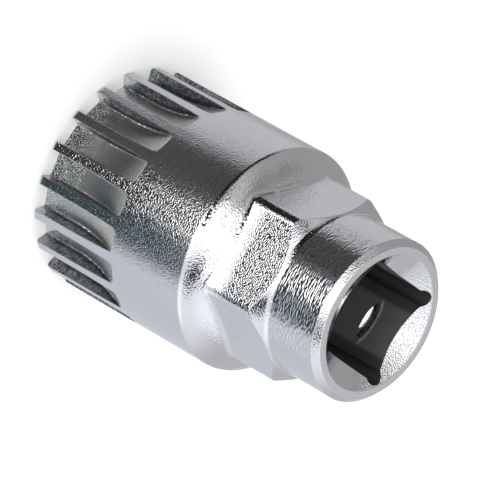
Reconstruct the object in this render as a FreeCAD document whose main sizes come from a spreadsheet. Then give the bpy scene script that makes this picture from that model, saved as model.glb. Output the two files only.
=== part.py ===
# Bottom bracket tool: a splined socket that turns the cartridge of a bicycle bottom bracket.
# One forged and machined piece of plated steel, standing on its toothed end with the drive
# square on top. Millimetres and degrees, +Z up, origin at the middle of the toothed end.

import FreeCAD, Part
import Sketcher
import os
from math import cos, pi, radians, sin, tan

# name, value, what it measures
SIZES = [
    ("overall_length", 48.0, "from the toothed end to the drive end"),
    ("barrel_diameter", 31.0, "over the teeth"),
    ("barrel_length", 27.6, "toothed end to the crease where the shoulder starts"),
    ("barrel_end_round", 0.5, "outer edge of the toothed end"),
    ("shoulder_radius", 8.5, "convex forged shoulder, in section"),
    ("shoulder_tilt", 40.0, "between the barrel and the start of the shoulder"),
    ("shoulder_edge_round", 0.75, "crease between the barrel and the shoulder"),
    ("hex_across_flats", 22.8, "forged hexagon"),
    ("hex_corner_round", 1.2, "along the six corners"),
    ("hex_root_fillet", 1.0, "where the flats run out on the shoulder"),
    ("hex_chamfer_angle", 45.0, "turned chamfer on the hexagon, from the axis"),
    ("collar_diameter", 22.4, "turned collar round the drive square"),
    ("collar_length", 8.45, "drive end to the root of the collar"),
    ("collar_root_fillet", 0.95, "between the collar and the chamfer of the hexagon"),
    ("collar_chamfer", 0.78, "outer edge of the drive end"),
    ("mouth_diameter", 18.74, "countersink where it meets the drive end"),
    ("mouth_angle", 120.0, "included angle of the countersink"),
    ("square_across_flats", 13.0, "drive square, half-inch size"),
    ("square_turn", -6.5, "the square as broached, turned against the hexagon"),
    ("relief_diameter", 2.4, "drilled relief in each corner of the square"),
    ("relief_pitch_diameter", 16.1, "circle through the middles of the reliefs"),
    ("detent_height_from_end", 6.6, "drive end to the middle of the detent ring"),
    ("detent_round", 0.92, "section radius of the detent ring"),
    ("detent_bite", 0.44, "how far the ring cuts into each wall of the square"),
    ("bore_diameter", 23.5, "room for the crank spindle inside the barrel"),
    ("bore_depth", 26.0, "toothed end to the floor of the bore"),
    ("bore_mouth_chamfer", 0.6, "inner edge of the toothed end"),
    ("bore_floor_round", 1.2, "corner between the bore and its floor"),
    ("tooth_count", 20, "teeth round the barrel"),
    ("slot_depth", 1.95, "barrel surface to the floor of a slot"),
    ("slot_width", 3.75, "slot at the barrel surface"),
    ("slot_flank_angle", 7.3, "each flank against the middle plane of its slot"),
    ("slot_floor_round", 0.35, "corner between a flank and the floor"),
    ("slot_level_length", 5.4, "toothed end to where the cutter starts to lift out"),
    ("cutter_radius", 24.75, "disc cutter that mills the slots"),
]

OVERCUT = 1.0  # how far a cut reaches past the surface that it opens
ORIGIN = (-1, 1)
START, END, CENTRE = range(1, 4)


def fill_sheet(doc):
    sheet = doc.addObject("Spreadsheet::Sheet", "Sizes")
    for row, (name, value, note) in enumerate(SIZES, start=1):
        sheet.set(f"A{row}", name)
        sheet.set(f"B{row}", str(value))
        sheet.set(f"C{row}", note)
        sheet.setAlias(f"B{row}", name)
    doc.recompute()
    return {name: float(sheet.get(name)) for name, value, note in SIZES}


def origin_plane(body, role):
    for feature in body.Origin.OriginFeatures:
        if feature.Role == role:
            return feature
    raise RuntimeError(f"{body.Label} has no {role}")


# A sketch on an origin plane. Height and turn are expressions that lift it along +Z and
# turn it about +Z, and both are for the XY plane only.
def new_sketch(body, name, role, height=None, turn=None):
    sketch = body.newObject("Sketcher::SketchObject", name)
    sketch.AttachmentSupport = [(origin_plane(body, role), "")]
    sketch.MapMode = "FlatFace"
    if height:
        sketch.setExpression("AttachmentOffset.Base.z", height)
    if turn:
        one_degree = FreeCAD.Rotation(FreeCAD.Vector(0, 0, 1), 1.0)
        sketch.AttachmentOffset = FreeCAD.Placement(FreeCAD.Vector(0, 0, 0), one_degree)
        sketch.setExpression("AttachmentOffset.Rotation.Angle", turn)
    return sketch


def add_line(sketch, start, end, construction=False):
    line = Part.LineSegment(FreeCAD.Vector(*start, 0), FreeCAD.Vector(*end, 0))
    return sketch.addGeometry(line, construction)


def add_arc(sketch, centre, radius, first_degrees, last_degrees):
    circle = Part.Circle(FreeCAD.Vector(*centre, 0), FreeCAD.Vector(0, 0, 1), radius)
    arc = Part.ArcOfCircle(circle, radians(first_degrees), radians(last_degrees))
    return sketch.addGeometry(arc, False)


def add_circle(sketch, centre, radius, construction=False):
    circle = Part.Circle(FreeCAD.Vector(*centre, 0), FreeCAD.Vector(0, 0, 1), radius)
    return sketch.addGeometry(circle, construction)


def constrain(sketch, kind, *references):
    return sketch.addConstraint(Sketcher.Constraint(kind, *references))


# A dimension that follows an expression on the sheet. The value only starts the solver.
def dimension(sketch, kind, references, value, expression):
    index = sketch.addConstraint(Sketcher.Constraint(kind, *references, value))
    sketch.setExpression(f"Constraints[{index}]", expression)


# Joins each piece of a closed outline to the next, end to start.
def close_outline(sketch, pieces):
    for index, (piece, joint) in enumerate(pieces):
        following = pieces[(index + 1) % len(pieces)][0]
        constrain(sketch, joint, piece, END, following, START)


def revolve(body, name, kind, sketch, axis="V_Axis"):
    feature = body.newObject(kind, name)
    feature.Profile = sketch
    feature.ReferenceAxis = (sketch, [axis])
    feature.Angle = 360.0
    sketch.Visibility = False
    return feature


def pocket(body, name, sketch, length, upward=False):
    feature = body.newObject("PartDesign::Pocket", name)
    feature.Profile = sketch
    feature.setExpression("Length", length)
    feature.Reversed = upward
    sketch.Visibility = False
    return feature


def polar_pattern(body, name, originals, sketch, count):
    feature = body.newObject("PartDesign::PolarPattern", name)
    feature.Originals = originals
    feature.Axis = (sketch, ["N_Axis"])
    feature.Angle = 360.0
    feature.setExpression("Occurrences", count)
    body.Tip = feature
    return feature


# Toothed barrel before its slots, and the forged shoulder that domes over it.
def make_barrel(body, size):
    radius = size["barrel_diameter"] / 2
    edge = size["barrel_end_round"]
    crease = size["barrel_length"]
    dome = size["shoulder_radius"]
    tilt = size["shoulder_tilt"]
    dome_x = radius - dome * cos(radians(tilt))
    dome_z = crease - dome * sin(radians(tilt))
    top = dome_z + dome

    sketch = new_sketch(body, "BarrelProfile", "YZ_Plane")
    base = add_line(sketch, (0, 0), (radius - edge, 0))
    end_round = add_arc(sketch, (radius - edge, edge), edge, -90, 0)
    wall = add_line(sketch, (radius, edge), (radius, crease))
    shoulder = add_arc(sketch, (dome_x, dome_z), dome, tilt, 90)
    crown = add_line(sketch, (dome_x, top), (0, top))
    middle = add_line(sketch, (0, top), (0, 0))
    close_outline(sketch, [
        (base, "Tangent"), (end_round, "Tangent"), (wall, "Coincident"),
        (shoulder, "Tangent"), (crown, "Coincident"), (middle, "Coincident")])
    constrain(sketch, "Coincident", base, START, *ORIGIN)
    constrain(sketch, "Horizontal", base)
    constrain(sketch, "Vertical", wall)
    constrain(sketch, "Vertical", middle)
    constrain(sketch, "Horizontal", crown)
    dimension(sketch, "Radius", (end_round,), edge, "Sizes.barrel_end_round")
    dimension(sketch, "DistanceX", (*ORIGIN, wall, START), radius, "Sizes.barrel_diameter / 2")
    dimension(sketch, "DistanceY", (*ORIGIN, wall, END), crease, "Sizes.barrel_length")
    dimension(sketch, "Radius", (shoulder,), dome, "Sizes.shoulder_radius")
    dimension(sketch, "DistanceX", (shoulder, CENTRE, shoulder, START), radius - dome_x,
              "Sizes.shoulder_radius * cos(Sizes.shoulder_tilt)")
    barrel = revolve(body, "Barrel", "PartDesign::Revolution", sketch)
    body.Document.recompute()

    edge_round = body.newObject("PartDesign::Fillet", "ShoulderEdge")
    edge_round.Base = (barrel, edge_names(barrel, lambda edge: is_crease(edge, size)))
    edge_round.setExpression("Radius", "Sizes.shoulder_edge_round")
    return edge_round


# Circle where the shoulder leaves the barrel.
def is_crease(edge, size):
    box = edge.BoundBox
    level = box.ZMax - box.ZMin < 0.001
    return level and abs(box.ZMin - size["barrel_length"]) < 0.001


# Hexagonal bar that rises out of the shoulder, its corners on the X axis and each 60 degrees.
def make_hexagon(body, size):
    corner = size["hex_across_flats"] / 2 / cos(pi / 6)
    sketch = new_sketch(body, "HexagonProfile", "XY_Plane", height="Sizes.barrel_length")
    ring = add_circle(sketch, (0, 0), corner, construction=True)
    constrain(sketch, "Coincident", ring, CENTRE, *ORIGIN)
    dimension(sketch, "Radius", (ring,), corner, "Sizes.hex_across_flats / 2 / cos(30)")
    points = [(corner * cos(turn * pi / 3), corner * sin(turn * pi / 3)) for turn in range(6)]
    sides = [add_line(sketch, points[turn], points[(turn + 1) % 6]) for turn in range(6)]
    close_outline(sketch, [(side, "Coincident") for side in sides])
    for side in sides:
        constrain(sketch, "PointOnObject", side, START, ring)
    for side in sides[1:]:
        constrain(sketch, "Equal", sides[0], side)
    constrain(sketch, "PointOnObject", sides[0], START, -1)
    bar = body.newObject("PartDesign::Pad", "HexagonBar")
    bar.Profile = sketch
    bar.setExpression("Length", "Sizes.overall_length - Sizes.barrel_length")
    sketch.Visibility = False
    body.Document.recompute()

    corners = body.newObject("PartDesign::Fillet", "HexagonCorners")
    corners.Base = (bar, edge_names(bar, lambda edge: is_upright(edge)))
    corners.setExpression("Radius", "Sizes.hex_corner_round")
    body.Document.recompute()

    # the six flats and their rounded corners run out on the shoulder along one closed loop
    root = body.newObject("PartDesign::Fillet", "HexagonRoot")
    root.Base = (corners, edge_names(corners, lambda edge: is_root(edge, size)))
    root.setExpression("Radius", "Sizes.hex_root_fillet")
    return root


def edge_names(feature, wanted):
    edges = feature.Shape.Edges
    return [f"Edge{index}" for index, edge in enumerate(edges, start=1) if wanted(edge)]


def is_upright(edge):
    if not isinstance(edge.Curve, Part.Line):
        return False
    return abs(edge.Curve.Direction.z) > 0.999 and edge.Length > 1.0


# Edges between the dome of the shoulder and the hexagonal bar.
def is_root(edge, size):
    box = edge.BoundBox
    reach = max(abs(box.XMin), abs(box.XMax), abs(box.YMin), abs(box.YMax))
    inside = reach < size["barrel_diameter"] / 2 - 0.5
    return inside and box.ZMin > size["barrel_length"] and box.ZMax < size["overall_length"] - 1


# Turning brings the end of the bar down to a round collar and chamfers the hexagon.
def turn_collar(body, size):
    collar = size["collar_diameter"] / 2
    top = size["overall_length"] + OVERCUT
    root = size["overall_length"] - size["collar_length"]
    fillet = size["collar_root_fillet"]
    slope = radians(size["hex_chamfer_angle"])
    outside = size["hex_across_flats"] / 2 / cos(pi / 6) + OVERCUT
    tangent_x = collar + fillet - fillet * cos(slope)
    tangent_z = root - fillet * sin(slope)
    low = tangent_z - (outside - tangent_x) / tan(slope)

    sketch = new_sketch(body, "CollarProfile", "YZ_Plane")
    wall = add_line(sketch, (collar, top), (collar, root))
    corner = add_arc(sketch, (collar + fillet, root), fillet, 180, 180 + size["hex_chamfer_angle"])
    cone = add_line(sketch, (tangent_x, tangent_z), (outside, low))
    clear = add_line(sketch, (outside, low), (outside, top))
    lid = add_line(sketch, (outside, top), (collar, top))
    close_outline(sketch, [
        (wall, "Tangent"), (corner, "Tangent"), (cone, "Coincident"),
        (clear, "Coincident"), (lid, "Coincident")])
    constrain(sketch, "Vertical", wall)
    constrain(sketch, "Vertical", clear)
    constrain(sketch, "Horizontal", lid)
    dimension(sketch, "Radius", (corner,), fillet, "Sizes.collar_root_fillet")
    dimension(sketch, "DistanceX", (*ORIGIN, wall, END), collar, "Sizes.collar_diameter / 2")
    dimension(sketch, "DistanceY", (*ORIGIN, wall, END), root,
              "Sizes.overall_length - Sizes.collar_length")
    dimension(sketch, "DistanceY", (*ORIGIN, wall, START), top,
              f"Sizes.overall_length + {OVERCUT}")
    dimension(sketch, "DistanceX", (*ORIGIN, clear, START), outside,
              f"Sizes.hex_across_flats / 2 / cos(30) + {OVERCUT}")
    dimension(sketch, "Angle", (cone,), slope - pi / 2, "Sizes.hex_chamfer_angle - 90")
    turned = revolve(body, "TurnedEnd", "PartDesign::Groove", sketch)
    body.Document.recompute()

    rim = body.newObject("PartDesign::Chamfer", "CollarChamfer")
    rim.Base = (turned, edge_names(turned, lambda edge: is_rim(edge, size)))
    rim.setExpression("Size", "Sizes.collar_chamfer")
    return rim


def is_rim(edge, size):
    box = edge.BoundBox
    return box.ZMin > size["overall_length"] - 0.01 and isinstance(edge.Curve, Part.Circle)


# Countersunk drive square with drilled corners and a ring that catches the driver's ball.
def cut_drive_square(body, size):
    end = size["overall_length"]
    half_width = size["square_across_flats"] / 2
    mouth = size["mouth_diameter"] / 2
    slope = tan(radians(size["mouth_angle"] / 2))

    sketch = new_sketch(body, "MouthProfile", "YZ_Plane")
    wide = mouth + OVERCUT * slope
    apex = end - mouth / slope
    lid = add_line(sketch, (0, end + OVERCUT), (wide, end + OVERCUT))
    cone = add_line(sketch, (wide, end + OVERCUT), (0, apex))
    middle = add_line(sketch, (0, apex), (0, end + OVERCUT))
    close_outline(sketch, [(lid, "Coincident"), (cone, "Coincident"), (middle, "Coincident")])
    constrain(sketch, "Horizontal", lid)
    constrain(sketch, "Vertical", middle)
    constrain(sketch, "PointOnObject", middle, START, -2)
    dimension(sketch, "DistanceY", (*ORIGIN, lid, START), end + OVERCUT,
              f"Sizes.overall_length + {OVERCUT}")
    dimension(sketch, "DistanceX", (*ORIGIN, lid, END), wide,
              f"Sizes.mouth_diameter / 2 + {OVERCUT} * tan(Sizes.mouth_angle / 2)")
    dimension(sketch, "DistanceY", (*ORIGIN, middle, START), apex,
              "Sizes.overall_length - Sizes.mouth_diameter / 2 / tan(Sizes.mouth_angle / 2)")
    revolve(body, "Mouth", "PartDesign::Groove", sketch)

    through = f"Sizes.overall_length - Sizes.bore_depth + {OVERCUT}"
    sketch = new_sketch(body, "SquareProfile", "XY_Plane", "Sizes.overall_length",
                        "Sizes.square_turn")
    corners = [(1, -1), (1, 1), (-1, 1), (-1, -1)]
    points = [(half_width * right, half_width * up) for right, up in corners]
    sides = [add_line(sketch, points[turn], points[(turn + 1) % 4]) for turn in range(4)]
    close_outline(sketch, [(side, "Coincident") for side in sides])
    for side, lie in zip(sides, ("Vertical", "Horizontal", "Vertical", "Horizontal")):
        constrain(sketch, lie, side)
    constrain(sketch, "Symmetric", sides[0], START, sides[2], START, *ORIGIN)
    dimension(sketch, "Distance", (sides[0],), 2 * half_width, "Sizes.square_across_flats")
    dimension(sketch, "Distance", (sides[1],), 2 * half_width, "Sizes.square_across_flats")
    pocket(body, "DriveSquare", sketch, through)

    sketch = new_sketch(body, "ReliefProfile", "XY_Plane", "Sizes.overall_length",
                        "Sizes.square_turn + 45")
    pitch = size["relief_pitch_diameter"] / 2
    drill = add_circle(sketch, (pitch, 0), size["relief_diameter"] / 2)
    constrain(sketch, "PointOnObject", drill, CENTRE, -1)
    dimension(sketch, "Radius", (drill,), size["relief_diameter"] / 2,
              "Sizes.relief_diameter / 2")
    dimension(sketch, "DistanceX", (*ORIGIN, drill, CENTRE), pitch,
              "Sizes.relief_pitch_diameter / 2")
    relief = pocket(body, "CornerRelief", sketch, through)
    polar_pattern(body, "CornerReliefs", [relief], sketch, "4")

    sketch = new_sketch(body, "DetentProfile", "YZ_Plane")
    ring = half_width + size["detent_bite"] - size["detent_round"]
    height = end - size["detent_height_from_end"]
    bead = add_circle(sketch, (ring, height), size["detent_round"])
    dimension(sketch, "Radius", (bead,), size["detent_round"], "Sizes.detent_round")
    dimension(sketch, "DistanceX", (*ORIGIN, bead, CENTRE), ring,
              "Sizes.square_across_flats / 2 + Sizes.detent_bite - Sizes.detent_round")
    dimension(sketch, "DistanceY", (*ORIGIN, bead, CENTRE), height,
              "Sizes.overall_length - Sizes.detent_height_from_end")
    return revolve(body, "DetentRing", "PartDesign::Groove", sketch)


# Blind bore from the toothed end. The drive square opens into its floor.
def bore_barrel(body, size):
    radius = size["bore_diameter"] / 2
    depth = size["bore_depth"]
    chamfer = size["bore_mouth_chamfer"]
    corner = size["bore_floor_round"]
    wide = radius + chamfer + OVERCUT

    sketch = new_sketch(body, "BoreProfile", "YZ_Plane")
    lid = add_line(sketch, (0, -OVERCUT), (wide, -OVERCUT))
    lead = add_line(sketch, (wide, -OVERCUT), (radius, chamfer))
    wall = add_line(sketch, (radius, chamfer), (radius, depth - corner))
    floor_round = add_arc(sketch, (radius - corner, depth - corner), corner, 0, 90)
    floor = add_line(sketch, (radius - corner, depth), (0, depth))
    middle = add_line(sketch, (0, depth), (0, -OVERCUT))
    close_outline(sketch, [
        (lid, "Coincident"), (lead, "Coincident"), (wall, "Tangent"),
        (floor_round, "Tangent"), (floor, "Coincident"), (middle, "Coincident")])
    constrain(sketch, "Horizontal", lid)
    constrain(sketch, "Vertical", wall)
    constrain(sketch, "Horizontal", floor)
    constrain(sketch, "Vertical", middle)
    constrain(sketch, "PointOnObject", middle, START, -2)
    dimension(sketch, "Radius", (floor_round,), corner, "Sizes.bore_floor_round")
    dimension(sketch, "DistanceX", (*ORIGIN, wall, START), radius, "Sizes.bore_diameter / 2")
    dimension(sketch, "DistanceY", (*ORIGIN, wall, START), chamfer, "Sizes.bore_mouth_chamfer")
    dimension(sketch, "DistanceX", (*ORIGIN, lid, END), wide,
              f"Sizes.bore_diameter / 2 + Sizes.bore_mouth_chamfer + {OVERCUT}")
    dimension(sketch, "DistanceY", (lid, END, *ORIGIN), OVERCUT, f"{OVERCUT}")
    dimension(sketch, "DistanceY", (*ORIGIN, middle, START), depth, "Sizes.bore_depth")
    return revolve(body, "SpindleBore", "PartDesign::Groove", sketch)


# Section of one slot across the barrel, its middle plane on the sketch's own X axis.
def draw_slot(sketch, size):
    radius = size["barrel_diameter"] / 2
    floor_x = radius - size["slot_depth"]
    corner = size["slot_floor_round"]
    flank = radians(size["slot_flank_angle"])
    outside = radius + OVERCUT
    half_width = size["slot_width"] / 2

    def flank_y(x):
        return half_width + (x - radius) * tan(flank)

    centre_x = floor_x + corner
    centre_y = flank_y(centre_x) - corner / cos(flank)
    touch = (centre_x - corner * sin(flank), centre_y + corner * cos(flank))
    lean = size["slot_flank_angle"]
    lid = add_line(sketch, (outside, -flank_y(outside)), (outside, flank_y(outside)))
    left = add_line(sketch, (outside, flank_y(outside)), touch)
    left_round = add_arc(sketch, (centre_x, centre_y), corner, 90 + lean, 180)
    floor = add_line(sketch, (floor_x, centre_y), (floor_x, -centre_y))
    right_round = add_arc(sketch, (centre_x, -centre_y), corner, 180, 270 - lean)
    right = add_line(sketch, (touch[0], -touch[1]), (outside, -flank_y(outside)))
    close_outline(sketch, [
        (lid, "Coincident"), (left, "Tangent"), (left_round, "Tangent"),
        (floor, "Tangent"), (right_round, "Tangent"), (right, "Coincident")])
    constrain(sketch, "Symmetric", lid, START, lid, END, -1)
    constrain(sketch, "Symmetric", floor, START, floor, END, -1)
    constrain(sketch, "Equal", left_round, right_round)
    dimension(sketch, "Radius", (left_round,), corner, "Sizes.slot_floor_round")
    dimension(sketch, "DistanceX", (*ORIGIN, floor, START), floor_x,
              "Sizes.barrel_diameter / 2 - Sizes.slot_depth")
    dimension(sketch, "DistanceX", (*ORIGIN, lid, END), outside,
              f"Sizes.barrel_diameter / 2 + {OVERCUT}")
    dimension(sketch, "DistanceY", (*ORIGIN, lid, END), flank_y(outside),
              f"Sizes.slot_width / 2 + {OVERCUT} * tan(Sizes.slot_flank_angle)")
    dimension(sketch, "Angle", (lid, END, left, START), flank - pi / 2,
              "Sizes.slot_flank_angle - 90")


# Slots between the teeth: straight from the toothed end, then lifting out on the cutter's arc.
def cut_slots(body, size):
    half_pitch = "180 / Sizes.tooth_count"
    sketch = new_sketch(body, "SlotSection", "XY_Plane", turn=half_pitch)
    draw_slot(sketch, size)
    straight = pocket(body, "SlotStraight", sketch, "Sizes.slot_level_length", upward=True)

    arbor = size["barrel_diameter"] / 2 - size["slot_depth"] + size["cutter_radius"]
    lifted = new_sketch(body, "RunOutSection", "XY_Plane", "Sizes.slot_level_length", half_pitch)
    draw_slot(lifted, size)
    axle = add_line(lifted, (arbor, -1), (arbor, 1), construction=True)
    constrain(lifted, "Symmetric", axle, START, axle, END, -1)
    dimension(lifted, "Distance", (axle,), 2, "2")
    dimension(lifted, "DistanceX", (*ORIGIN, axle, START), arbor,
              "Sizes.barrel_diameter / 2 - Sizes.slot_depth + Sizes.cutter_radius")
    run_out = revolve(body, "SlotRunOut", "PartDesign::Groove", lifted, "Axis0")
    run_out.setExpression("Angle", "acos(1 - Sizes.slot_depth / Sizes.cutter_radius) + 10 deg")
    return polar_pattern(body, "Slots", [straight, run_out], sketch, "Sizes.tooth_count")


def check(doc, body):
    for item in doc.Objects:
        broken = {"Invalid", "Error"} & set(item.State)
        if broken:
            raise RuntimeError(f"{item.Label} is {', '.join(broken)}")
    if body.Shape.isNull() or not body.Shape.isValid() or len(body.Shape.Solids) != 1:
        raise RuntimeError(f"{body.Label} has no single valid solid")


def main():
    doc = FreeCAD.newDocument("BottomBracketTool")
    size = fill_sheet(doc)
    body = doc.addObject("PartDesign::Body", "ToolBody")
    body.Label = "tool_body"
    make_barrel(body, size)
    make_hexagon(body, size)
    turn_collar(body, size)
    cut_drive_square(body, size)
    bore_barrel(body, size)
    cut_slots(body, size)
    doc.recompute()
    check(doc, body)
    os.makedirs("parts", exist_ok=True)
    body.Shape.exportStep(f"parts/{body.Label}.step")
    print(f"{body.Label}: {body.Shape.Volume / 1000:.2f} cm3, {len(body.Shape.Faces)} faces")


main()
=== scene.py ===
import math

import bpy
from mathutils import Matrix, Vector

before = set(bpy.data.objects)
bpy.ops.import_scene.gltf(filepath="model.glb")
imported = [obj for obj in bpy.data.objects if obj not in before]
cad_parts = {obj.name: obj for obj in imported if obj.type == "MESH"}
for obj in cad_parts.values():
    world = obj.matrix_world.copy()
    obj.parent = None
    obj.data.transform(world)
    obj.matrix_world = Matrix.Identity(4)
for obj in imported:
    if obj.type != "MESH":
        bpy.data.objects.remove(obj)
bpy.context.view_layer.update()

mm = 0.001


# A socket that can stand in a sum. Each operator adds the Math node that does it.
class Wire:
    def __init__(self, bench, socket):
        self.bench = bench
        self.socket = socket

    def math(self, operation, first, second=0.0):
        return self.bench.add("ShaderNodeMath", {"operation": operation}, {0: first, 1: second})

    def __add__(self, other):
        return self.math("ADD", self, other)

    def __radd__(self, other):
        return self.math("ADD", other, self)

    def __sub__(self, other):
        return self.math("SUBTRACT", self, other)

    def __rsub__(self, other):
        return self.math("SUBTRACT", other, self)

    def __mul__(self, other):
        return self.math("MULTIPLY", self, other)

    def __rmul__(self, other):
        return self.math("MULTIPLY", other, self)

    def __truediv__(self, other):
        return self.math("DIVIDE", self, other)

    def __rtruediv__(self, other):
        return self.math("DIVIDE", other, self)

    def __neg__(self):
        return self.math("MULTIPLY", self, -1.0)

    def __abs__(self):
        return self.math("ABSOLUTE", self)

    def function(self, operation):
        return self.math(operation, self)

    def least(self, other):
        return self.math("MINIMUM", self, other)

    def most(self, other):
        return self.math("MAXIMUM", self, other)

    # turned back into the range from low to high, as an angle is
    def wrap(self, low, high):
        return self.bench.add("ShaderNodeMath", {"operation": "WRAP"}, {0: self, 1: high, 2: low})

    # 0 at low and 1 at high, eased at both ends; low may be the larger one
    def ease(self, low, high):
        values = {"Value": self, "From Min": low, "From Max": high}
        return self.bench.add("ShaderNodeMapRange", {"interpolation_type": "SMOOTHSTEP"}, values)


# A node tree being wired up.
class Bench:
    def __init__(self, tree):
        self.tree = tree
        tree.nodes.clear()

    # kind of node, its settings, the values or links of its sockets by name or place, and the
    # output that is wanted if it isn't the first one in use
    def add(self, kind, settings=None, values=None, out=None):
        node = self.tree.nodes.new(kind)
        for name, value in (settings or {}).items():
            setattr(node, name, value)
        for key, value in (values or {}).items():
            self.feed(self.socketOf(node, key), value)
        if out:
            return Wire(self, node.outputs[out])
        shown = [s for s in node.outputs if s.enabled]
        return Wire(self, shown[0]) if shown else None

    def socketOf(self, node, key):
        if isinstance(key, int):
            return node.inputs[key]
        return next(s for s in node.inputs if s.name == key and s.enabled)

    def feed(self, socket, value):
        if isinstance(value, Wire):
            self.tree.links.new(value.socket, socket)
        else:
            socket.default_value = value

    def mixColour(self, factor, first, second):
        values = {"Factor": factor, "A": opaque(first), "B": opaque(second)}
        return self.add("ShaderNodeMix", {"data_type": "RGBA"}, values)

    def split(self, vector):
        parts = self.add("ShaderNodeSeparateXYZ", {}, {0: vector})
        return [Wire(self, s) for s in parts.socket.node.outputs]

    def join(self, x, y, z):
        return self.add("ShaderNodeCombineXYZ", {}, {0: x, 1: y, 2: z})


# A colour of three parts gets its alpha, a wire is passed on.
def opaque(colour):
    return colour if isinstance(colour, Wire) else (*colour, 1.0)


camera = {
    "azimuth": -92.5,       # degrees, where the camera stands round the tool
    "elevation": 37.913,
    "roll": 119.547,        # the tool lies aslant in the picture
    "aim": (0.5415, 11.7685, 15.1263),  # mm, what the middle of the picture shows
    "distance": 738.722,    # mm
    "sensor": 36.0,         # mm, and the lens too
    "lens": 406.805,
    "near": 10.0,           # mm, what the camera sees begins and ends here
    "far": 10000.0,
}


def placeCamera():
    turn = math.radians(camera["azimuth"])
    lift = math.radians(camera["elevation"])
    roll = math.radians(camera["roll"])
    back = Vector((math.cos(turn) * math.cos(lift), math.sin(turn) * math.cos(lift), math.sin(lift)))
    level = Vector((-math.sin(turn), math.cos(turn), 0.0))
    right = level * math.cos(roll) + back.cross(level) * math.sin(roll)
    up = back.cross(right)
    data = bpy.data.cameras.new("photoCamera")
    data.sensor_width = camera["sensor"]
    data.lens = camera["lens"]
    data.clip_start = camera["near"] * mm
    data.clip_end = camera["far"] * mm
    holder = bpy.data.objects.new("photoCamera", data)
    place = Vector(camera["aim"]) * mm + back * camera["distance"] * mm
    holder.matrix_world = Matrix.Translation(place) @ Matrix((right, up, back)).transposed().to_4x4()
    bpy.context.scene.collection.objects.link(holder)
    bpy.context.scene.camera = holder
    print("camera placed")


placeCamera()

# The light tent round the tool, in degrees from the X axis and above the floor. Its cloth changes
# from level to level, each with the heights between which it takes over from the one below.
# A card hangs before it, with half its width, half its height and its soft sides and ends.
tent = {
    "paper": (0.80, 0.80, 0.80),
    "levels": [
        (-64, -52, (0.66, 0.69, 0.74)),
        (-36, -10, (0.86, 0.88, 0.92)),
        (8, 40, (1.00, 1.02, 1.07)),
        (54, 68, (1.45, 1.45, 1.45)),
    ],
    "cards": {
        "rightDim": {"at": (62, 7), "half": (14, 21), "soft": (33, 15), "colour": (0.58, 0.58, 0.60)},
        "rearLight": {"at": (84, -40), "half": (7, 12), "soft": (10, 8), "colour": (0.92, 0.92, 0.92)},
        "leftCloth": {"at": (150, -48), "half": (34, 18), "soft": (16, 10), "colour": (0.61, 0.615, 0.63)},
        "greySide": {"at": (142, 20), "half": (40, 38), "soft": (30, 14), "colour": (0.39, 0.39, 0.40)},
        "greyStrip": {"at": (112, -42), "half": (4, 18), "soft": (10, 8), "colour": (0.40, 0.40, 0.41)},
        "dimCorner": {"at": (190, 30), "half": (12, 12), "soft": (16, 14), "colour": (0.42, 0.42, 0.42)},
        "shoulderGlow": {"at": (194, 48), "half": (6, 10), "soft": (16, 8), "colour": (0.62, 0.62, 0.62)},
        "shoulderDusk": {"at": (156, 46), "half": (5, 8), "soft": (16, 8), "colour": (0.28, 0.28, 0.28)},
        "sideGlow": {"at": (32, 54), "half": (20, 8), "soft": (16, 8), "colour": (1.14, 1.18, 1.28)},
        "chamferGlow": {"at": (238, 53), "half": (16, 3), "soft": (10, 3), "colour": (1.7, 1.7, 1.7)},
        "sideLight": {"at": (342, -2), "half": (12, 20), "soft": (14, 14), "colour": (1.22, 1.25, 1.3)},
        "blackFlag": {"at": (222, -42), "half": (17, 24), "soft": (21, 14), "colour": (0.09, 0.09, 0.09)},
        "blackCore": {"at": (212, -13), "half": (31, 12), "soft": (15, 14), "colour": (0.02, 0.02, 0.02)},
        "upperFlag": {"at": (223, 23), "half": (17, 18), "soft": (6, 5), "colour": (0.01, 0.01, 0.01)},
        "lowerFlag": {"at": (224, -66), "half": (18, 12), "soft": (10, 5), "colour": (0.01, 0.01, 0.01)},
        "tealFlag": {"at": (301, -60), "half": (19, 24), "soft": (18, 5), "colour": (0.035, 0.062, 0.07)},
        "frontShade": {"at": (268, -60), "half": (16, 24), "soft": (14, 3), "colour": (0.04, 0.04, 0.04)},
        "frontLight": {"at": (272.5, 30), "half": (11.5, 62.5), "soft": (7, 2), "colour": (2.6, 2.6, 2.6)},
        "frontFlank": {"at": (288, 18), "half": (8, 34), "soft": (8, 8), "colour": (1.5, 1.5, 1.5)},
        "darkPatch": {"at": (328, 54), "half": (11, 11), "soft": (3, 3), "colour": (0.02, 0.02, 0.02)},
    },
}


def hangTent():
    world = bpy.data.worlds.new("lightTent")
    bpy.context.scene.world = world
    world.use_nodes = True
    bench = Bench(world.node_tree)
    ray = bench.add("ShaderNodeTexCoord", out="Generated")
    x, y, z = bench.split(ray)
    azimuth = y.math("ARCTAN2", y, x) * math.degrees(1)
    height = z.function("ARCSINE") * math.degrees(1)
    colour = tent["paper"]
    for low, high, cloth in tent["levels"]:
        colour = bench.mixColour(height.ease(low, high), colour, cloth)
    for card in tent["cards"].values():
        toward, level = card["at"]
        (wide, tall), (sides, ends) = card["half"], card["soft"]
        across = abs((azimuth - toward).wrap(-180.0, 180.0)).ease(wide + sides, wide)
        along = abs(height - level).ease(tall + ends, tall)
        colour = bench.mixColour(across * along, colour, card["colour"])
    sky = bench.add("ShaderNodeBackground", {}, {"Color": colour, "Strength": 1.0})
    bench.add("ShaderNodeOutputWorld", {}, {"Surface": sky})
    print("light tent hung")


hangTent()

lamp = {
    "height": 700.0,    # mm above the table
    "side": 600.0,      # mm, square
    "watts": 2.0,
}


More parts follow.
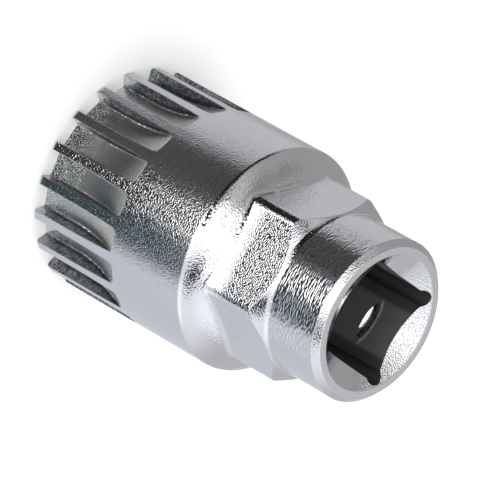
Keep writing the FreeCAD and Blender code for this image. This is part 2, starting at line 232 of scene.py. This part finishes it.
def hangLamp():
    data = bpy.data.lights.new("topLamp", "AREA")
    data.shape = "SQUARE"
    data.size = lamp["side"] * mm
    data.energy = lamp["watts"]
    holder = bpy.data.objects.new("topLamp", data)
    holder.location = (0, 0, lamp["height"] * mm)
    holder.visible_glossy = False    # it lights the table, the tent is what the chrome mirrors
    bpy.context.scene.collection.objects.link(holder)
    print("lamp hung")


hangLamp()

table = {
    "halfWidth": 900.0,    # mm
    "colour": (0.965, 0.965, 0.955),
    "roughness": 0.9,
}


def layTable():
    half = table["halfWidth"] * mm
    mesh = bpy.data.meshes.new("table")
    corners = [(-half, -half, 0), (half, -half, 0), (half, half, 0), (-half, half, 0)]
    mesh.from_pydata(corners, [], [(0, 1, 2, 3)])
    floor = bpy.data.objects.new("table", mesh)
    bpy.context.scene.collection.objects.link(floor)
    paper = bpy.data.materials.new("tablePaper")
    paper.use_nodes = True
    bench = Bench(paper.node_tree)
    skin = bench.add("ShaderNodeBsdfPrincipled", {}, {
        "Base Color": opaque(table["colour"]),
        "Roughness": table["roughness"],
        "Specular IOR Level": 0.0,
    })
    bench.add("ShaderNodeOutputMaterial", {}, {"Surface": skin})
    mesh.materials.append(paper)
    floor.visible_glossy = False    # the chrome mirrors the tent, not the paper it stands on
    print("table laid")


layTable()

# The finish of the tool: satin chrome on forged, turned and milled steel.
plating = {
    # sizes that the finish follows, in millimetres, as in the part
    "form": {
        "barrelRadius": 15.5,
        "barrelTop": 27.6,
        "slotFloorRadius": 13.55,
        "slotLevel": 5.4,         # height up to which the floor of a slot is level
        "cutterRadius": 24.75,    # of the disc that cut the slots
        "shoulderRadius": 8.5,    # of the convex shoulder, in section
        "shoulderTilt": 40,       # degrees
        "topEnd": 48.0,
        "mouthRadius": 9.37,
        "mouthAngle": 120,        # degrees
        "recessRadius": 6.02,     # of the ring turned into the square for the driver's ball
        "recessHeight": 41.4,
    },
    # the measures at which each zone of the finish begins and is full, in millimetres
    "zones": {
        # by the radius
        "insideTeeth": (15.45, 15.35),
        "aroundBore": (12.55, 12.75),
        "boreRadius": (11.95, 11.8),
        "outside": (9.8, 10.0),
        "rimRadius": (9.37, 10.27),
        "insideRim": (9.37, 9.27),
        "reliefs": (7.15, 7.5),
        # by the height
        "toothTip": (3.0, 0.4),
        "pitted": (9.5, 0.5),
        "underSlotTop": (15.3, 15.1),
        "boreHeight": (26.3, 26.1),
        "shoulder": (27.3, 28.0),
        "collar": (39.35, 39.75),
        "mouth": (45.3, 45.4),
        "rimHeight": (47.15, 47.25),
        "endRing": (47.94, 47.98),
        # by the radius over a slot's floor
        "offSlotFloor": (0.1, 0.3),
        "slotFoot": (1.1, 0.35),
        # by the height over the shoulder
        "hexagon": (0.4, 0.7),
        # by the radius inside the mouth's edge, the depth under its cone and the place along Y
        "insideMouth": (0.0, 0.05),
        "underMouth": (0.05, 0.12),
        "farMouth": (0.0, 3.0),
        # by the distance from the middle of the recess, then from its lip
        "recess": (0.97, 0.93),
        "recessShade": (1.22, 1.1),
        "recessLip": (0.2, 0.09),
        # by the height over the middle of the recess
        "overRecess": (0.0, 0.2),
        "lipHeight": (0.15, 0.5),
        "glint": (0.12, -0.12),
        # by the upward part of the normal, which has no unit
        "bevelled": (0.5, 0.65),
        "upright": (0.4, 0.1),
    },
    # pits at the tooth ends of the slots, in millimetres
    "pits": {
        "patch": 1.4,         # they come in patches
        "spread": 2.0,        # how far the patches run together
        "size": 0.13,
        "depth": 0.17,
        "threshold": 0.56,    # how much of the noise is left as it is
    },
    # the grain of each surface, with its size and height in millimetres; where X, Y and Z are
    # multiplied by less than 1, the grain is drawn out that way
    "grains": {
        "barrel": {"size": 0.19, "height": 0.027},
        "shoulder": {"size": 0.25, "height": 0.03},
        "flats": {"size": 0.19, "height": 0.036, "drawn": (0.7, 0.7, 1.0)},
        "collar": {"size": 0.2, "height": 0.036, "drawn": (0.35, 0.35, 0.9)},
        "mouth": {"size": 0.19, "height": 0.09},
        "rim": {"size": 0.19, "height": 0.035},
    },
    "bevelLoss": 0.6,    # share of the flats' grain that the turned bevel has lost
    "calmShare": 0.4,    # share of the barrel's grain that the slots, socket and bore keep
    # small faults of forging, turning and use; a lean is what the normal gains along the tool or
    # round it, for swell, draft and worn with each millimetre past the place named before it, and
    # the pairs are the millimetres at which a fault begins and is full, but for the noise of dots
    "faults": {
        "swell": {"middle": 22.0, "lean": 0.002, "end": (29.0, 27.5)},
        "draft": {"top": 33.1, "lean": 0.055, "wall": -0.007},
        "burr": {"height": 39.65, "width": (0.1, 0.0), "lean": -0.2},
        "corner": {"reach": (5.6, 6.1), "side": (0.0, -2.0), "lean": 0.2},
        "worn": {"start": 5.2, "lean": 0.15, "reach": (6.4, 5.7)},
        "nick": {
            "height": 0.22, "width": (0.3, 0.1), "side": (-2.5, -5.5), "front": (-8.0, -9.0),
            "grain": 0.3, "dots": (0.52, 0.6), "dotSide": (1.0, -1.5), "lean": -0.45,
        },
        "chips": {
            "height": 27.76, "width": (0.34, 0.2), "side": (0.3, -0.8), "front": (-13.6, -14.3),
            "grain": 0.35, "dots": (0.53, 0.57), "thicker": 0.14, "thickSide": (0.0, -4.0),
            "round": -0.32, "along": -0.1,
        },
    },
    "edgeRound": 0.13,    # mm, the break of every edge
    "edgeSamples": 6,
    "bright": (0.73, 0.735, 0.745),
    "roughness": 0.11,
    # rough specks in the blasted chrome, with their size in millimetres
    "specks": {"size": 0.15, "threshold": 0.58, "roughness": 0.6},
    "slots": {
        "colour": (1.00, 1.00, 0.98),
        "dark": (0.70, 0.70, 0.69),
        "roughness": 0.34,
        "pitShade": 0.3,
        "pitPolish": 0.65,    # how far the pits bring back the chrome's gloss
    },
    "flanks": {
        "colour": (0.68, 0.695, 0.735),
        "dark": (0.16, 0.17, 0.20),
        "stained": (0.2, 0.8),    # the stain at which a flank is dark and light
        # the painted shade at the foot of a flank, in the corner by the slot's floor, and how much of it
        # is laid on
        "paintedShadeAtFoot": (0.03, 0.032, 0.036),
        "footShade": 0.8,
        # how far the flanks are painted light towards the tooth tips, a painted highlight
        "tipPaintedHighlight": 0.75,
    },
    # stains in the slots are two noises added, with their sizes in millimetres
    "stains": {"fine": 0.16, "fineShare": 0.6, "broad": 0.48, "broadShare": 0.7, "offset": -0.15},
    "socket": {
        "colour": (0.42, 0.42, 0.42),
        "roughness": 0.5,
        # the colour of the painted shade in the corner reliefs and round the recess, and how much of it
        # each gets
        "paintedShade": (0.02, 0.02, 0.02),
        "reliefShade": 0.6,
        "recessShade": 0.3,
        # the recess is painted light on its lower half and dark on its upper half, a painted highlight and
        # a painted shade
        "recessPaintedHighlight": (0.8, 0.8, 0.8),
        "recessPaintedShade": (0.2, 0.2, 0.2),
        # the painted highlight on the recess's upper lip, and how far it lies from the recess's middle
        "lipPaintedHighlight": (1.0, 1.0, 1.0),
        "lipReach": 1.18,     # mm from the middle of the recess
    },
    "boreColour": (0.35, 0.35, 0.35),
}


# A point of the tool's skin in millimetres, and its zones, each 1 inside and 0 outside.
class Skin:
    def __init__(self, bench):
        self.bench = bench
        place = bench.add("ShaderNodeTexCoord", out="Object")
        self.spot = bench.add("ShaderNodeVectorMath", {"operation": "SCALE"}, {0: place, "Scale": 1 / mm})
        self.x, self.y, self.z = bench.split(self.spot)
        self.radius = (self.x * self.x + self.y * self.y).function("SQRT")
        self.upward = bench.split(bench.add("ShaderNodeNewGeometry", out="Normal"))[2]
        self.markSlots()
        self.markHexagon()
        self.markSocket()
        self.calm = self.slots.most(self.socket).most(self.bore).most(self.zone("endRing", self.z))

    def zone(self, name, measure):
        return measure.ease(*plating["zones"][name])

    def noise(self, size, vector=None):
        values = {"Vector": vector or self.spot, "Scale": 1 / size, "Detail": 0.0}
        return self.bench.add("ShaderNodeTexNoise", {}, values)

    def markSlots(self):
        form, pits = plating["form"], plating["pits"]
        cutter = form["cutterRadius"]
        climb = (self.z - form["slotLevel"]).most(0.0)
        floor = form["slotFloorRadius"] + cutter - (cutter ** 2 - climb * climb).function("SQRT")
        self.overFloor = self.radius - floor
        self.slots = (
            self.zone("insideTeeth", self.radius)
            * self.zone("underSlotTop", self.z)
            * self.zone("aroundBore", self.radius)
        )
        self.flanks = self.slots * self.zone("offSlotFloor", self.overFloor)
        patches = (self.noise(pits["patch"]) * pits["spread"]).least(1.0)
        self.pitted = self.slots * self.zone("pitted", self.z) * patches

    def markHexagon(self):
        form = plating["form"]
        bow = form["shoulderRadius"]
        tilt = math.radians(form["shoulderTilt"])
        across = self.radius - (form["barrelRadius"] - bow * math.cos(tilt))
        dome = (bow ** 2 - across * across).most(0.0).function("SQRT")
        self.overShoulder = self.z - (form["barrelTop"] - bow * math.sin(tilt)) - dome
        self.collar = self.zone("collar", self.z)
        self.hexagon = self.zone("hexagon", self.overShoulder) * (1 - self.collar)
        self.shoulder = self.zone("shoulder", self.z) * (1 - self.hexagon) * (1 - self.collar)

    def markSocket(self):
        form = plating["form"]
        inward = form["mouthRadius"] - self.radius
        sunk = inward.most(0.0) * math.tan(math.radians(90 - form["mouthAngle"] / 2))
        depth = form["topEnd"] - sunk - self.z
        self.mouth = self.zone("insideMouth", inward) * self.zone("mouth", self.z)
        self.socket = self.zone("underMouth", depth) * self.zone("insideRim", self.radius)
        self.bore = self.zone("boreHeight", self.z) * self.zone("boreRadius", self.radius)
        self.rim = self.zone("rimHeight", self.z) * self.zone("rimRadius", self.radius)
        aside = self.radius - form["recessRadius"]
        self.overRecess = self.z - form["recessHeight"]
        self.fromRecess = (aside * aside + self.overRecess * self.overRecess).function("SQRT")
        self.recess = self.zone("recess", self.fromRecess)


# The height of the skin over the true form, in millimetres.
def skinHeight(skin):
    def grain(name):
        item = plating["grains"][name]
        vector = None
        if "drawn" in item:
            alongX, alongY, alongZ = item["drawn"]
            vector = skin.bench.join(skin.x * alongX, skin.y * alongY, skin.z * alongZ)
        return skin.noise(item["size"], vector) * item["height"]

    barrel = grain("barrel")
    turned = (1 - skin.mouth) * (1 - skin.rim) * skin.collar
    lost = skin.zone("bevelled", skin.upward) * plating["bevelLoss"]
    height = barrel * (1 - skin.hexagon - skin.shoulder) * (1 - skin.collar)
    height = height + grain("shoulder") * skin.shoulder
    height = height + grain("flats") * skin.hexagon * (1 - lost)
    height = height + grain("collar") * turned
    height = height + grain("mouth") * skin.mouth * skin.zone("farMouth", skin.y)
    height = height + grain("rim") * skin.rim
    height = height * (1 - skin.calm) + barrel * skin.calm * plating["calmShare"]
    pits = plating["pits"]
    pit = (skin.noise(pits["size"]) - pits["threshold"]).most(0.0) * pits["depth"]
    return height + pit * skin.pitted * skin.pitted


# The barrel swells, the flats draw in above their root and lean back a little as a whole, and
# the turning tool has left a burr under the collar.
def leanAlong(skin):
    faults = plating["faults"]
    swell, draft, burr = faults["swell"], faults["draft"], faults["burr"]
    swollen = (skin.z - swell["middle"]) * swell["lean"] * skin.z.ease(*swell["end"])
    drawn = ((draft["top"] - skin.z).most(0.0) * draft["lean"] + draft["wall"]) * skin.hexagon
    edge = abs(skin.z - burr["height"]).ease(*burr["width"]) * burr["lean"]
    return swollen + drawn + edge


# The die has nicked the root of the hexagon at the front, with single dots beyond the nick.
def nickedRoot(skin):
    nick = plating["faults"]["nick"]
    dots = skin.noise(nick["grain"]).ease(*nick["dots"]) * skin.x.ease(*nick["dotSide"])
    worked = (skin.x.ease(*nick["side"]) + dots).least(1.0)
    band = abs(skin.overShoulder - nick["height"]).ease(*nick["width"])
    return band * worked * skin.y.ease(*nick["front"]) * nick["lean"]


# The edge of the shoulder is chipped at the front, more so towards one side.
def chippedEdge(skin):
    chips = plating["faults"]["chips"]
    thicker = skin.x.ease(*chips["thickSide"]) * chips["thicker"]
    dots = (skin.noise(chips["grain"]) + thicker).ease(*chips["dots"])
    band = abs(skin.z - chips["height"]).ease(*chips["width"])
    return dots * skin.x.ease(*chips["side"]) * skin.y.ease(*chips["front"]) * band


# All leans as one vector. The corners of the hexagon are worn towards its flats, and on one
# side they lean back.
def skinLean(skin):
    faults = plating["faults"]
    corner, worn, chips = faults["corner"], faults["worn"], faults["chips"]
    outside = skin.zone("outside", skin.radius) * (1 - skin.bore)
    sixth = math.pi / 3
    turn = skin.y.math("ARCTAN2", skin.y, skin.x).wrap(0.0, sixth)
    reach = skin.radius * (turn - sixth / 2).function("SINE")    # along a flat, from its middle
    wall = skin.hexagon * outside * skin.zone("upright", skin.upward)
    rubbed = (abs(reach) - worn["start"]).most(0.0) * abs(reach).ease(*worn["reach"]) * worn["lean"]
    chipped = chippedEdge(skin)
    aslant = rubbed * reach.function("SIGN") * wall
    aslant = aslant + (nickedRoot(skin) + chipped * chips["round"]) * outside
    cornered = abs(reach).ease(*corner["reach"]) * skin.x.ease(*corner["side"]) * wall
    along = (leanAlong(skin) + cornered * corner["lean"] + chipped * chips["along"]) * outside
    return skin.bench.join(-skin.y / skin.radius * aslant, skin.x / skin.radius * aslant, along)


def slotColours(skin):
    mix = skin.bench.mixColour
    slots, flanks, stains = plating["slots"], plating["flanks"], plating["stains"]
    stain = skin.noise(stains["fine"]) * stains["fineShare"]
    stain = stain + skin.noise(stains["broad"]) * stains["broadShare"] + stains["offset"]
    floor = mix(stain - skin.pitted * slots["pitShade"], slots["dark"], slots["colour"])
    flank = mix(stain.ease(*flanks["stained"]), flanks["dark"], flanks["colour"])
    # Painted shade: each flank is darkened towards the slot's floor, in the corner where shade falls.
    paintedShadeAtFoot = skin.zone("slotFoot", skin.overFloor)
    flank = mix(paintedShadeAtFoot * flanks["footShade"], flank, flanks["paintedShadeAtFoot"])
    # Painted highlight: the flanks are lightened to the bright chrome towards the tooth tips.
    paintedTipHighlight = skin.zone("toothTip", skin.z)
    flank = mix(paintedTipHighlight * flanks["tipPaintedHighlight"], flank, plating["bright"])
    return mix(skin.flanks, mix(skin.slots, plating["bright"], floor), flank)


def skinColour(skin):
    mix = skin.bench.mixColour
    socket = plating["socket"]
    colour = mix(skin.bore, slotColours(skin), plating["boreColour"])
    colour = mix(skin.socket, colour, socket["colour"])
    # Painted shade: the corner reliefs of the square socket are darkened.
    reliefs = skin.zone("reliefs", skin.radius) * skin.socket
    colour = mix(reliefs * socket["reliefShade"], colour, socket["paintedShade"])
    # Painted shade in a band round the upper side of the recess.
    shade = skin.zone("recessShade", skin.fromRecess) * skin.zone("overRecess", skin.overRecess)
    colour = mix(shade * skin.socket * socket["recessShade"], colour, socket["paintedShade"])
    # Painted highlight: a thin white line round the upper lip of the recess.
    paintedLip = skin.zone("recessLip", abs(skin.fromRecess - socket["lipReach"]))
    paintedLip = paintedLip * skin.zone("lipHeight", skin.overRecess) * skin.socket
    colour = mix(paintedLip, colour, socket["lipPaintedHighlight"])
    # Painted highlight and painted shade: the recess is light on its lower half and dark on its upper
    # half.
    glint = mix(skin.zone("glint", skin.overRecess), socket["recessPaintedShade"], socket["recessPaintedHighlight"])
    return mix(skin.recess, colour, glint)


def skinRoughness(skin):
    base, specks = plating["roughness"], plating["specks"]
    slots, socket = plating["slots"], plating["socket"]
    milled = (skin.slots - skin.pitted * slots["pitPolish"]) * (slots["roughness"] - base)
    speck = (skin.noise(specks["size"]) - specks["threshold"]).most(0.0) * specks["roughness"]
    speck = speck * (1 - skin.calm) * (1 - skin.hexagon)
    broached = skin.socket.most(skin.bore) * (1 - skin.recess) * (socket["roughness"] - base)
    return base + milled + speck + broached


def plateTool():
    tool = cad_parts["tool_body"]
    finish = bpy.data.materials.new("satinChrome")
    finish.use_nodes = True
    bench = Bench(finish.node_tree)
    skin = Skin(bench)
    rounding = {"Radius": plating["edgeRound"] * mm}
    edge = bench.add("ShaderNodeBevel", {"samples": plating["edgeSamples"]}, rounding)
    leant = bench.add("ShaderNodeVectorMath", {"operation": "ADD"}, {0: edge, 1: skinLean(skin)})
    leant = bench.add("ShaderNodeVectorMath", {"operation": "NORMALIZE"}, {0: leant})
    bump = bench.add("ShaderNodeBump", {}, {
        "Height": skinHeight(skin),
        "Distance": mm,
        "Strength": 1.0,
        "Normal": leant,
    })
    metal = bench.add("ShaderNodeBsdfPrincipled", {}, {
        "Base Color": skinColour(skin),
        "Metallic": 1.0,
        "Roughness": skinRoughness(skin),
        "Normal": bump,
    })
    bench.add("ShaderNodeOutputMaterial", {}, {"Surface": metal})
    for slot in tool.material_slots:
        slot.material = finish
    print("tool plated,", len(tool.material_slots), "slots")


plateTool()

view = bpy.context.scene.view_settings
view.view_transform = "Standard"
